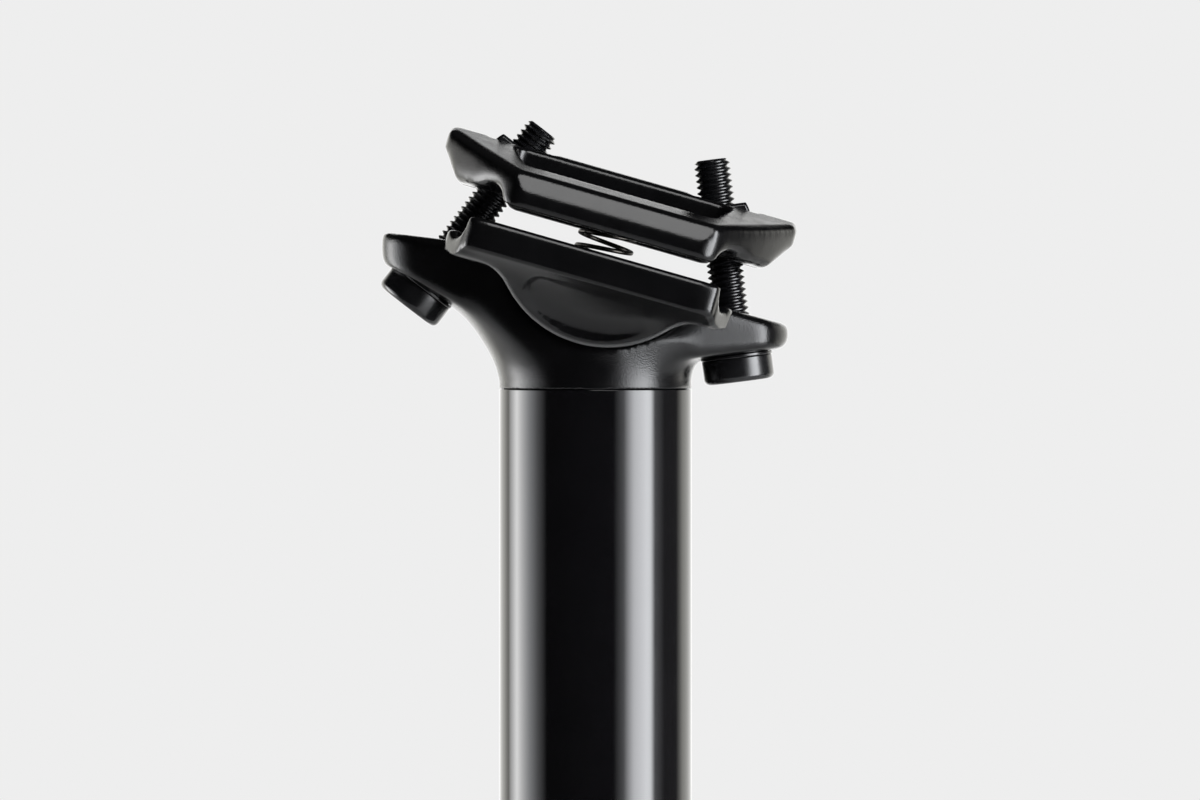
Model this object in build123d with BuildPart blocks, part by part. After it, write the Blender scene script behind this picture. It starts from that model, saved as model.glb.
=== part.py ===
from build123d import *
import os
from math import cos, radians, sin, sqrt, tan

# Post tube
post_length = 350.0  # lower end of the tube to the clamp's tilt axis
tube_diameter = 31.6
tube_wall = 2.0
tube_end_chamfer = 0.7
seam_chamfer = 0.3  # on both sides of the seam between tube and head
bond_gap = 0.1  # glue film round the spigot
spigot_length = 30.0
spigot_wall = 4.0
spigot_floor = 6.0

# Tilt axis of the saddle clamp
axis_rise = 25.2  # above the seam
axis_forward = 2.0  # ahead of the tube's own axis
clamp_tilt = 15.9  # nose-down slope of the rails, degrees
tilt_reach = 5.0  # adjustment either way, degrees
fit_clearance = 0.3  # pieces that move against each other
bed_clearance = 0.06  # running fit of the cradle in its bed

# Saddle rails
rail_diameter = 7.0
rail_clearance = 0.05
rail_spacing = 44.0
rail_drop = 3.55  # rail centre below the tilt axis

# Clamp bolts and washers
bolt_diameter = 6.0
bolt_length = 32.8
bolt_tip_chamfer = 0.6
bolt_head_diameter = 11.6
bolt_head_height = 4.0
bolt_head_chamfer = 0.6
hex_key = 5.0
hex_depth = 2.4
washer_diameter = 11.8
washer_rim = 0.5
washer_dome = 1.6  # crown of the washer's round face above its rim
washer_dome_diameter = 10.6
washer_hole_play = 0.3
washer_play = 0.2

# Barrel nuts
front_bolt_lean = 23.2  # bolt against the clamp's upright, degrees
rear_bolt_lean = 21.8
front_nut_inset = 12.7  # from the upper clamp's front end
rear_nut_inset = 12.1  # from the upper clamp's rear end
nut_rise = 7.5  # above the tilt axis
nut_diameter = 10.4
nut_length = 9.0
nut_flat = 2.3  # milled flat above the barrel's centre
nut_thread_play = 0.15
nut_end_chamfer = 0.4

# Head
front_seat_depth = 22.3  # nut centre down to the washer's seat
rear_seat_depth = 25.4
front_ear_radius = 8.2
rear_ear_radius = 8.6
front_ear_overhang = 1.1  # from the bolt to the middle of the ear's round end
rear_ear_overhang = 2.3
front_neck_round = 3.0
rear_neck_round = 14.0
front_nose_round = 1.8
rear_nose_round = 2.4
nose_trim = 0.2  # flat left at the very end of each ear
front_ear_thickness = 7.4
rear_ear_thickness = 9.1
front_ear_slope = 21.7  # top face against the bolt, degrees
rear_ear_slope = 30.5
rear_belly_slope = 6.5  # underside against the bolt, degrees
rear_belly_drop = 0.65
ear_hole_width = 6.8
ear_hole_length = 8.6

# Lower cradle
cradle_radius = 18.4
cradle_top = 6.1  # below the tilt axis
cradle_half_width = 17.5
cradle_wall_foot = 8.2  # upright outer wall ends here, below the tilt axis
trough_floor = 3.1  # metal under the rail
lip_rise = 0.45  # outer lip above the rail's centre
lip_round = 0.8
trough_outer_wall = 1.95
trough_underside_round = 8.0
trough_web_drop = 9.8  # foot of the web between trough and half-moon
cradle_short_half = 20.6  # half length along the outer lip
cradle_long_half = 24.0  # half length along the inner lip
cradle_dish = 1.4  # hollow of the half-moon's two sides
cradle_rim_round = 0.35
border_width = 1.4  # raised border left round each hollow
border_step = 0.6
border_corner_round = 2.5
cradle_shift = -1.1  # middle of the troughs, ahead of the tilt axis

# Upper clamp
clamp_gap = 3.2  # open gap from the cradle's lip to the clamp
clamp_half_length = 29.6
clamp_half_width = 29.0
clamp_tip_half_width = 7.5
clamp_side_half = 16.8
clamp_spine_top = 10.4  # above the tilt axis
clamp_side_top = 6.0
clamp_side_foot = 2.7  # upright part of the side, from the clamp's bottom
clamp_side_draft = 1.05  # inward lean of the side above its foot
spine_half_width = 4.2
clamp_roof_slope_limit = 25.0  # steepest face that counts as roof, degrees
arch_depth = 2.5
clamp_belly = 1.5  # raised underside between the arches, from the clamp's bottom
tip_undercut = 5.0
tip_undercut_rise = 6.6
clamp_corner_round = 4.0
roof_edge_round = 1.2
clamp_edge_chamfer = 0.6
pocket_inner = 6.0  # from the clamp's middle plane
pocket_outer = 21.2
pocket_inner_half = 18.5
pocket_outer_half = 15.6
pocket_floor = 3.9  # above the tilt axis
pocket_round = 2.0
pocket_rim_chamfer = 0.4

# Clamp spring
spring_diameter = 9.8
spring_wire = 0.75
spring_wire_sides = 6
spring_turns = 4.5
spring_play = 0.5
spring_seat_depth = 2.9
spring_recess = 0.6
spring_end_gap = 0.1

# Worked-out sizes
tube_radius = tube_diameter / 2
bore_radius = tube_radius - tube_wall
seam_z = post_length - axis_rise
tilt = radians(clamp_tilt)
bolt_radius = bolt_diameter / 2
nut_radius = nut_diameter / 2
groove_radius = rail_diameter / 2 + rail_clearance
rail_y = rail_spacing / 2
bed_radius = cradle_radius + bed_clearance
trough_half_width = rail_y + groove_radius + trough_outer_wall
trough_radius = groove_radius + trough_floor
lip_drop = rail_drop - lip_rise
clamp_bottom = clamp_gap - lip_drop
belly = clamp_bottom + clamp_belly
arch_rise = clamp_bottom + arch_depth - groove_radius
press_travel = arch_rise + rail_drop
washer_dome_radius = washer_dome_diameter / 2
dome_sphere = (washer_dome_radius**2 + washer_dome**2) / (2 * washer_dome)
dome_centre = washer_dome - dome_sphere
spring_radius = (spring_diameter - spring_wire) / 2
spring_bore_radius = (spring_diameter + spring_play) / 2
reach = 2 * clamp_half_width  # longer than any piece of the clamp is wide

# Planes of the clamp, through its tilt axis or the middle of its troughs
tilt_axis = Vector(axis_forward, 0, post_length)
along = Vector(cos(tilt), 0, -sin(tilt))
upward = Vector(sin(tilt), 0, cos(tilt))
clamp_plan = Plane(origin=tilt_axis, x_dir=along, z_dir=upward)
clamp_side = Plane(origin=tilt_axis, x_dir=along, z_dir=(0, -1, 0))
cradle_plan = Plane(origin=tilt_axis + along * cradle_shift, x_dir=along, z_dir=upward)
clamp_section = Plane(origin=tilt_axis, x_dir=(0, 1, 0), z_dir=along)
head_side = Plane(origin=(0, 0, seam_z), x_dir=(1, 0, 0), z_dir=(0, -1, 0))

front = 1
rear = -1
seat_depth = {front: front_seat_depth, rear: rear_seat_depth}
nut_offset = {front: clamp_half_length - front_nut_inset, rear: clamp_half_length - rear_nut_inset}
bolt_lean = {front: radians(front_bolt_lean), rear: radians(rear_bolt_lean)}


def bolt_plane(end):
    """Plane at a nut's centre, its normal pointing up along the bolt."""
    lean = tilt - end * bolt_lean[end]
    centre = tilt_axis + along * (end * nut_offset[end]) + upward * nut_rise
    return Plane(origin=centre, x_dir=(cos(lean), 0, -sin(lean)), z_dir=(sin(lean), 0, cos(lean)))


def ear_point(end, outward, height):
    """Point of the head's side view, from the middle of a washer's seat."""
    place = bolt_plane(end)
    spot = place.origin + place.x_dir * (end * outward) + place.z_dir * (height - seat_depth[end])
    return (spot.X, spot.Z - seam_z)


def bolt_side(end):
    """Plane through a bolt's axis, its height measured up from the washer's seat."""
    seat = bolt_plane(end).offset(-seat_depth[end])
    return Plane(origin=seat.origin, x_dir=seat.x_dir, z_dir=(0, -1, 0))


def slot_inner(end, height):
    """Inner end of the bolt's slot in the upper clamp, tilted furthest back."""
    lean = bolt_lean[end] - radians(tilt_reach)
    return nut_offset[end] + (nut_rise - height) * tan(lean) - bolt_radius / cos(lean) - fit_clearance


def slot_outer(end, height):
    """Outer end of the bolt's slot in the upper clamp, tilted furthest and pressed down."""
    lean = bolt_lean[end] + radians(tilt_reach)
    climb = nut_rise + press_travel - height
    return nut_offset[end] + climb * tan(lean) + bolt_radius / cos(lean) + fit_clearance


def faces_up(face):
    """Whether a face looks up, along the clamp's own upright."""
    return face.normal_at().dot(upward) > cos(radians(clamp_roof_slope_limit))


def off_the_ridge(edge):
    """Whether an edge lies away from the two lines where the flat spine meets the slopes."""
    return abs(abs(edge.center().Y) - spine_half_width) > fit_clearance


def drop(shape):
    """How far the middle of a face or edge lies below the tilt axis."""
    return (tilt_axis - shape.center()).dot(upward)


def on_dish(face):
    """Whether a face is one of the half-moon's two dished sides."""
    return abs(face.center().Y) > cradle_half_width and drop(face) > trough_web_drop + cradle_dish


def on_lower_rim(edge):
    """Whether an edge lies below the cradle's upright outer wall."""
    return drop(edge) > cradle_wall_foot + fit_clearance


def corner(sketch, point):
    """The sketch vertex nearest to a point."""
    return sketch.vertices().sort_by_distance(point)[0]


# Post tube
with BuildPart() as post_tube:
    with BuildSketch():
        Circle(tube_radius)
        Circle(bore_radius, mode=Mode.SUBTRACT)
    extrude(amount=seam_z)
    chamfer(post_tube.edges().filter_by(GeomType.CIRCLE).group_by(Axis.Z)[0], tube_end_chamfer)
    top_rim = post_tube.edges().filter_by(GeomType.CIRCLE).group_by(Axis.Z)[-1]
    chamfer(top_rim.sort_by(SortBy.RADIUS)[-1], seam_chamfer)

# Head: plan outline, trimmed by its flared undersides and by the slopes of its two ears
ear_reach = {front: front_ear_radius + front_ear_overhang, rear: rear_ear_radius + rear_ear_overhang}
ear_top = {front: front_ear_thickness, rear: rear_ear_thickness}
ear_fall = {front: tan(radians(front_ear_slope)), rear: tan(radians(rear_ear_slope))}
belly_drop = {front: 0, rear: rear_belly_drop}
belly_fall = {front: 0, rear: tan(radians(rear_belly_slope))}
neck_round = {front: front_neck_round, rear: rear_neck_round}
nose_round = {front: front_nose_round, rear: rear_nose_round}
ear_radius = {front: front_ear_radius, rear: rear_ear_radius}


def top_point(end, outward):
    """Point on an ear's top, measured outwards from the bolt."""
    return ear_point(end, outward, ear_top[end] - ear_fall[end] * outward)


def belly_height(end, x):
    """Height of an ear's underside at a distance from the tube's axis."""
    start = ear_point(end, 0, -belly_drop[end])
    finish = ear_point(end, reach, -belly_drop[end] - belly_fall[end] * reach)
    return start[1] + (finish[1] - start[1]) * (x - start[0]) / (finish[0] - start[0])


with BuildPart() as head:
    with BuildSketch(Plane.XY.offset(seam_z)):
        with BuildLine():
            CenterArc((0, 0), tube_radius, 0, 360)
            for end in (front, rear):
                tip = top_point(end, ear_reach[end])[0]
                CenterArc((tip - end * ear_radius[end], 0), ear_radius[end], 0, 360)
        make_hull()
    extrude(amount=reach)

    with BuildSketch(head_side):
        with BuildLine():
            Polyline(
                (-reach, 0),
                (reach, 0),
                top_point(front, reach),
                top_point(front, -front_ear_radius),
                top_point(rear, -rear_ear_radius),
                top_point(rear, reach),
                close=True,
            )
        make_face()
    extrude(amount=reach, both=True, mode=Mode.INTERSECT)

    for end in (front, rear):
        neck_x = end * tube_radius
        nose_x = top_point(end, ear_reach[end])[0] - end * nose_trim
        armpit = (neck_x, belly_height(end, neck_x))
        nose = (nose_x, belly_height(end, nose_x))
        with BuildSketch(head_side) as underside:
            with BuildLine():
                Polyline(
                    (neck_x, -reach),
                    armpit,
                    nose,
                    (nose_x, reach),
                    (end * reach, reach),
                    (end * reach, -reach),
                    close=True,
                )
            make_face()
            fillet(corner(underside, armpit), neck_round[end])
            fillet(corner(underside, nose), nose_round[end])
        revolve(axis=Axis.Z, revolution_arc=90, mode=Mode.SUBTRACT)
        revolve(underside.sketch, axis=Axis.Z, revolution_arc=-90, mode=Mode.SUBTRACT)

    with BuildSketch(clamp_side):
        Circle(bed_radius)
    extrude(amount=reach, both=True, mode=Mode.SUBTRACT)

    chamfer(head.edges().group_by(Axis.Z)[0], seam_chamfer)
    with BuildSketch(Plane.XY.offset(seam_z)):
        Circle(bore_radius - bond_gap)
    extrude(amount=-spigot_length)
    with BuildSketch(Plane.XY.offset(seam_z - spigot_length)):
        Circle(bore_radius - bond_gap - spigot_wall)
    extrude(amount=spigot_length - spigot_floor, mode=Mode.SUBTRACT)

    for end in (front, rear):
        seat = bolt_plane(end).offset(-seat_depth[end])
        with BuildSketch(seat):
            Circle(washer_diameter / 2 + washer_play)
        extrude(amount=-rear_ear_thickness, mode=Mode.SUBTRACT)
        with BuildSketch(bolt_side(end)):
            with Locations((0, dome_centre)):
                Circle(dome_sphere + washer_play)
            Rectangle(washer_dome_radius, dome_sphere, align=Align.MIN, mode=Mode.INTERSECT)
        revolve(axis=Axis(seat.origin, seat.z_dir), mode=Mode.SUBTRACT)
        with BuildSketch(seat):
            SlotOverall(ear_hole_length, ear_hole_width)
        extrude(amount=reach, mode=Mode.SUBTRACT)

# Washers, bolts and nuts, one of each at the front and at the rear
fasteners = []
for end, place_name in ((front, "front"), (rear, "rear")):
    nut_plane = bolt_plane(end)
    bolt_axis = Axis(nut_plane.origin, nut_plane.z_dir)
    bearing = nut_plane.offset(-seat_depth[end] - washer_rim)
    washer_hole = bolt_radius + washer_hole_play

    with BuildPart() as washer:
        with BuildSketch(bolt_side(end)):
            with Locations((0, dome_centre)):
                Circle(dome_sphere)
            with Locations((washer_hole, 0)):
                Rectangle(
                    washer_dome_radius - washer_hole, washer_dome, align=Align.MIN, mode=Mode.INTERSECT
                )
            with Locations((washer_hole, -washer_rim)):
                Rectangle(washer_diameter / 2 - washer_hole, washer_rim, align=Align.MIN)
        revolve(axis=bolt_axis)
    washer.part.label = f"{place_name}_washer"

    with BuildPart() as bolt:
        with BuildSketch(bearing):
            Circle(bolt_radius)
        extrude(amount=bolt_length)
        chamfer(bolt.edges().filter_by(GeomType.CIRCLE).sort_by(bolt_axis)[-1], bolt_tip_chamfer)
        with BuildSketch(bearing):
            Circle(bolt_head_diameter / 2)
        extrude(amount=-bolt_head_height)
        chamfer(bolt.edges().filter_by(GeomType.CIRCLE).sort_by(bolt_axis)[0], bolt_head_chamfer)
        with BuildSketch(bearing.offset(-bolt_head_height)):
            RegularPolygon(hex_key / 2, 6, major_radius=False)
        extrude(amount=hex_depth, mode=Mode.SUBTRACT)
    bolt.part.label = f"{place_name}_bolt"

    with BuildPart() as nut:
        with BuildSketch(Plane(origin=nut_plane.origin, x_dir=nut_plane.x_dir, z_dir=(0, -1, 0))):
            Circle(nut_radius)
            with Locations((0, nut_flat)):
                Rectangle(
                    nut_diameter, nut_radius, align=(Align.CENTER, Align.MIN), mode=Mode.SUBTRACT
                )
        extrude(amount=nut_length / 2, both=True)
        chamfer(nut.faces().filter_by(Axis.Y).edges(), nut_end_chamfer)
        with BuildSketch(nut_plane):
            Circle(bolt_radius + nut_thread_play)
        extrude(amount=nut_diameter, both=True, mode=Mode.SUBTRACT)
    nut.part.label = f"{place_name}_nut"

    fasteners += [washer.part, bolt.part, nut.part]

# Hollows in the half-moon's two sides, each inside a raised border
with BuildPart() as hollows:
    with BuildSketch(clamp_section):
        with BuildLine():
            SagittaArc(
                (trough_half_width - border_step, -cradle_wall_foot),
                (cradle_half_width - border_step, -bed_radius),
                -cradle_dish,
            )
            Polyline(
                (cradle_half_width - border_step, -bed_radius),
                (reach, -bed_radius),
                (reach, -cradle_wall_foot),
                (trough_half_width - border_step, -cradle_wall_foot),
            )
        make_face()
        mirror(about=Plane.YZ)
    extrude(amount=reach, both=True)

    with BuildSketch(clamp_side) as hollow_profile:
        Circle(cradle_radius - border_width)
        with Locations((0, -cradle_wall_foot - border_width)):
            Rectangle(2 * reach, reach, align=(Align.CENTER, Align.MAX), mode=Mode.INTERSECT)
        fillet(hollow_profile.vertices(), border_corner_round)
    extrude(amount=reach, both=True, mode=Mode.INTERSECT)

# Lower cradle: hull-shaped section, cut to a half-moon with a trough for each rail
with BuildPart() as lower_cradle:
    with BuildSketch(clamp_section) as hull_section:
        with BuildLine():
            Polyline(
                (0, -bed_radius),
                (0, -cradle_top),
                (rail_y, -cradle_top),
                (rail_y, -lip_drop),
                (trough_half_width, -lip_drop),
                (trough_half_width, -cradle_wall_foot),
            )
            SagittaArc(
                (trough_half_width, -cradle_wall_foot), (cradle_half_width, -bed_radius), -cradle_dish
            )
            Line((cradle_half_width, -bed_radius), (0, -bed_radius))
        make_face()
        fillet(corner(hull_section, (trough_half_width, -lip_drop)), lip_round)
        mirror(about=Plane.YZ)
    extrude(amount=reach, both=True)

    with BuildSketch(clamp_side) as cradle_profile:
        Circle(cradle_radius)
        with Locations((cradle_shift, -trough_web_drop)):
            Rectangle(2 * cradle_long_half, trough_web_drop, align=(Align.CENTER, Align.MIN))
        for side in (front, rear):
            meeting = (side * sqrt(cradle_radius**2 - trough_web_drop**2), -trough_web_drop)
            fillet(corner(cradle_profile, meeting), trough_underside_round)
    extrude(amount=reach, both=True, mode=Mode.INTERSECT)

    with BuildSketch(clamp_side):
        Rectangle(2 * reach, 2 * reach)
        Circle(cradle_radius, mode=Mode.SUBTRACT)
    extrude(amount=rail_y - groove_radius, both=True, mode=Mode.SUBTRACT)

    with BuildSketch(clamp_section):
        with Locations((rail_y, -rail_drop)):
            Circle(trough_radius)
            Rectangle(trough_radius, trough_radius, align=Align.MIN, mode=Mode.SUBTRACT)
        with Locations((rail_y, -cradle_top)):
            Rectangle(trough_radius, reach, align=(Align.MAX, Align.MIN), mode=Mode.SUBTRACT)
        with Locations((trough_half_width, -rail_drop)):
            Rectangle(trough_radius, 2 * reach, align=(Align.MIN, Align.CENTER), mode=Mode.SUBTRACT)
        mirror(about=Plane.YZ)
    extrude(amount=reach, both=True)

    with BuildSketch(cradle_plan):
        with BuildLine():
            Polyline(
                (0, 0),
                (cradle_long_half, 0),
                (cradle_long_half, rail_y - groove_radius),
                (cradle_short_half, trough_half_width),
                (0, trough_half_width),
                close=True,
            )
        make_face()
        mirror(about=Plane.XZ)
        mirror(about=Plane.YZ)
    extrude(amount=reach, both=True, mode=Mode.INTERSECT)

    with BuildSketch(clamp_section):
        with Locations((-rail_y, -rail_drop), (rail_y, -rail_drop)):
            Circle(groove_radius)
    extrude(amount=reach, both=True, mode=Mode.SUBTRACT)

    dishes = lower_cradle.faces().filter_by(on_dish)
    lower_rims = dishes.edges().filter_by(on_lower_rim).filter_by(GeomType.BSPLINE)
    fillet(lower_rims, cradle_rim_round)
    add(hollows.part, mode=Mode.SUBTRACT)

    with BuildSketch(clamp_plan.offset(-cradle_top)):
        Circle(spring_bore_radius)
    extrude(amount=-spring_seat_depth, mode=Mode.SUBTRACT)

# Upper clamp: six-sided plate with a ridged top
with BuildPart() as upper_clamp:
    with BuildSketch(clamp_section):
        with BuildLine():
            Polyline(
                (0, belly),
                (rail_y, belly),
                (rail_y, clamp_bottom),
                (clamp_half_width - clamp_edge_chamfer, clamp_bottom),
                (clamp_half_width, clamp_bottom + clamp_edge_chamfer),
                (clamp_half_width, clamp_bottom + clamp_side_foot),
                (clamp_half_width - clamp_side_draft, clamp_side_top),
                (spine_half_width, clamp_spine_top),
                (0, clamp_spine_top),
                close=True,
            )
        make_face()
        mirror(about=Plane.YZ)
    extrude(amount=clamp_half_length, both=True)

    with BuildSketch(clamp_plan) as clamp_outline:
        with BuildLine():
            Polyline(
                (0, 0),
                (clamp_half_length, 0),
                (clamp_half_length, clamp_tip_half_width),
                (clamp_side_half, clamp_half_width),
                (0, clamp_half_width),
                close=True,
            )
        make_face()
        mirror(about=Plane.XZ)
        mirror(about=Plane.YZ)
        fillet(clamp_outline.vertices(), clamp_corner_round)
    extrude(amount=reach, both=True, mode=Mode.INTERSECT)

    with BuildSketch(clamp_side):
        with BuildLine():
            Polyline(
                (0, clamp_bottom),
                (clamp_half_length - tip_undercut, clamp_bottom),
                (clamp_half_length, clamp_bottom + tip_undercut_rise),
                (clamp_half_length, clamp_spine_top),
                (0, clamp_spine_top),
                close=True,
            )
        make_face()
        mirror(about=Plane.YZ)
    extrude(amount=reach, both=True, mode=Mode.INTERSECT)
    roof = upper_clamp.faces().filter_by(faces_up)
    fillet(roof.edges().filter_by(off_the_ridge), roof_edge_round)

    with BuildSketch(clamp_plan.offset(pocket_floor)) as pockets:
        with BuildLine():
            Polyline(
                (-pocket_inner_half, pocket_inner),
                (pocket_inner_half, pocket_inner),
                (pocket_outer_half, pocket_outer),
                (-pocket_outer_half, pocket_outer),
                close=True,
            )
        make_face()
        mirror(about=Plane.XZ)
        fillet(pockets.vertices(), pocket_round)
    extrude(amount=clamp_spine_top, mode=Mode.SUBTRACT)
    sloped = upper_clamp.faces().filter_by(faces_up)
    pocket_rims = ShapeList(wire for face in sloped for wire in face.inner_wires())
    chamfer(pocket_rims.edges(), pocket_rim_chamfer)

    with BuildSketch(clamp_section):
        with Locations((-rail_y, arch_rise), (rail_y, arch_rise)):
            Circle(groove_radius)
    extrude(amount=reach, both=True, mode=Mode.SUBTRACT)

    for end in (front, rear):
        with BuildSketch(clamp_side):
            with Locations((end * nut_offset[end], nut_rise)):
                Circle(nut_radius + fit_clearance)
                Rectangle(
                    nut_diameter + 2 * fit_clearance,
                    clamp_spine_top,
                    align=(Align.CENTER, Align.MIN),
                )
        extrude(amount=nut_length / 2 + fit_clearance, both=True, mode=Mode.SUBTRACT)
        with BuildSketch(clamp_side):
            with BuildLine():
                Polyline(
                    (end * slot_inner(end, 0), 0),
                    (end * slot_outer(end, 0), 0),
                    (end * slot_outer(end, nut_rise), nut_rise),
                    (end * slot_inner(end, nut_rise), nut_rise),
                    close=True,
                )
            make_face()
        extrude(amount=ear_hole_width / 2, both=True, mode=Mode.SUBTRACT)

    with BuildSketch(clamp_plan.offset(belly)):
        Circle(spring_bore_radius)
    extrude(amount=spring_recess, mode=Mode.SUBTRACT)

# Clamp spring, standing in its seat and holding the upper clamp against the nuts
spring_foot = spring_wire / 2 + spring_end_gap - cradle_top - spring_seat_depth
spring_head = belly + spring_recess - spring_end_gap - spring_wire / 2
spring_height = spring_head - spring_foot
with BuildPart() as clamp_spring:
    with BuildLine(clamp_plan.offset(spring_foot)) as coil:
        Helix(
            pitch=spring_height / spring_turns,
            height=spring_height,
            radius=spring_radius,
            direction=upward,
        )
    with BuildSketch(Plane(origin=coil.line @ 0, z_dir=coil.line % 0)):
        RegularPolygon(spring_wire / 2, spring_wire_sides)
    sweep(path=coil.line, is_frenet=True)

post_tube.part.label = "post_tube"
head.part.label = "head"
lower_cradle.part.label = "lower_cradle"
upper_clamp.part.label = "upper_clamp"
clamp_spring.part.label = "clamp_spring"

os.makedirs("parts", exist_ok=True)
pieces = [post_tube.part, head.part, lower_cradle.part, upper_clamp.part, clamp_spring.part]
for piece in pieces + fasteners:
    export_step(piece, f"parts/{piece.label}.step")
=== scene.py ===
import logging
from collections.abc import Callable, Iterator, Sequence
from dataclasses import dataclass
from enum import Enum
from math import ceil, copysign, cos, floor, pi, radians, sin, tau

import bpy
from mathutils import Matrix, Vector


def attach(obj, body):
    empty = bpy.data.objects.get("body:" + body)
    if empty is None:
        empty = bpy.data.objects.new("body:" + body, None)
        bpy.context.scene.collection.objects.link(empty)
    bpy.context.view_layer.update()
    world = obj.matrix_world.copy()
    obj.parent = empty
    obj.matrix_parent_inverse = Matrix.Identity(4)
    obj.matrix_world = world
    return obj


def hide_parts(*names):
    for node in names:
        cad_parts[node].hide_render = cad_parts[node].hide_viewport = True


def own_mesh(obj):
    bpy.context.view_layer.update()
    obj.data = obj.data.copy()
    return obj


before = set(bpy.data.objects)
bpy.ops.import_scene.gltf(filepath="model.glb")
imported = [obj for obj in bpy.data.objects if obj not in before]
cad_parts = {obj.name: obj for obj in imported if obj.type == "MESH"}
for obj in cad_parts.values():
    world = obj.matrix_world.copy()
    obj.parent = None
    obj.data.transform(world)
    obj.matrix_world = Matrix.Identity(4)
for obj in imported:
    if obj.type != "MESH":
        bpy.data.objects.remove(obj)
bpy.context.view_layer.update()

MM = 0.001
SMOOTHING = 0.5
# The point attribute that marks where a highlight is painted into the colour.
HIGHLIGHT_ATTRIBUTE = "painted_highlight"
# A stretch over which something eases in: where it starts, and where it is complete.
Span = tuple[float, float]
Piece = bpy.types.Object
Tree = bpy.types.NodeTree
Socket = bpy.types.NodeSocket
log = logging.getLogger("seatpost")


class Body(Enum):
    """The CAD bodies that pieces ride on."""

    POST = "post"
    CRADLE = "cradle"
    TOP_CLAMP = "top_clamp"
    REAR_BARREL = "rear_barrel"
    FRONT_BARREL = "front_barrel"


class Slot(Enum):
    """The record's material slots."""

    TUBE = "tube"
    FORGING = "forging"
    FASTENER = "fastener"
    SPRING = "spring_wire"


class End(Enum):
    """The two ends of the saddle clamp, and the way each lies from its tilt axis."""

    FRONT = 1
    REAR = -1


class Mod(Enum):
    """The modifiers that pieces are made with."""

    REMESH = "REMESH"
    SMOOTH = "SMOOTH"
    BOOLEAN = "BOOLEAN"
    SCREW = "SCREW"


class Tint(Enum):
    """The colours of the studio's light."""

    NEUTRAL = (1.0, 1.0, 1.0)
    WARM = (1.0, 0.99, 0.93)
    COOL = (0.95, 0.97, 1.0)


def portion(value: float, start: float, finish: float) -> float:
    """How far a value has come from a start to a finish, from 0 to 1."""
    return min(1.0, max(0.0, (value - start) / (finish - start)))


def ramp(value: float, start: float, finish: float) -> float:
    """How far a value has come from a start to a finish, easing in and out, from 0 to 1."""
    share = portion(value, start, finish)
    return share * share * (3 - 2 * share)


def ease(value: float, base: float, span: Span) -> float:
    """How far a value has come along a span that is measured from a base, easing in and out."""
    return ramp(value, base + span[0], base + span[1])


def arc(
    centre: tuple[float, float], radius: float, start: float, finish: float, steps: int = 8
) -> list[tuple[float, float]]:
    """Points along an arc.

    Args:
        centre: the arc's middle.
        radius: its radius.
        start: the angle of its first point, in degrees.
        finish: the angle of its last point, in degrees.
        steps: the number of steps between them.

    Returns:
        The points in order.
    """
    angles = [radians(start + (finish - start) * step / steps) for step in range(steps + 1)]
    return [(centre[0] + radius * cos(angle), centre[1] + radius * sin(angle)) for angle in angles]


def grey(value: float) -> tuple[float, float, float, float]:
    """An opaque grey."""
    return value, value, value, 1


def add_node(tree: Tree, kind: str, inputs: dict[str | int, object]) -> bpy.types.Node:
    """Adds a node with its inputs set or linked.

    Args:
        tree: the nodes of a material or a world.
        kind: the node's type.
        inputs: what goes into each input, either a value or another node's output.

    Returns:
        The new node.
    """
    node = tree.nodes.new(kind)
    for key, value in inputs.items():
        if isinstance(value, Socket):
            tree.links.new(value, node.inputs[key])
        else:
            node.inputs[key].default_value = value
    return node


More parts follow.
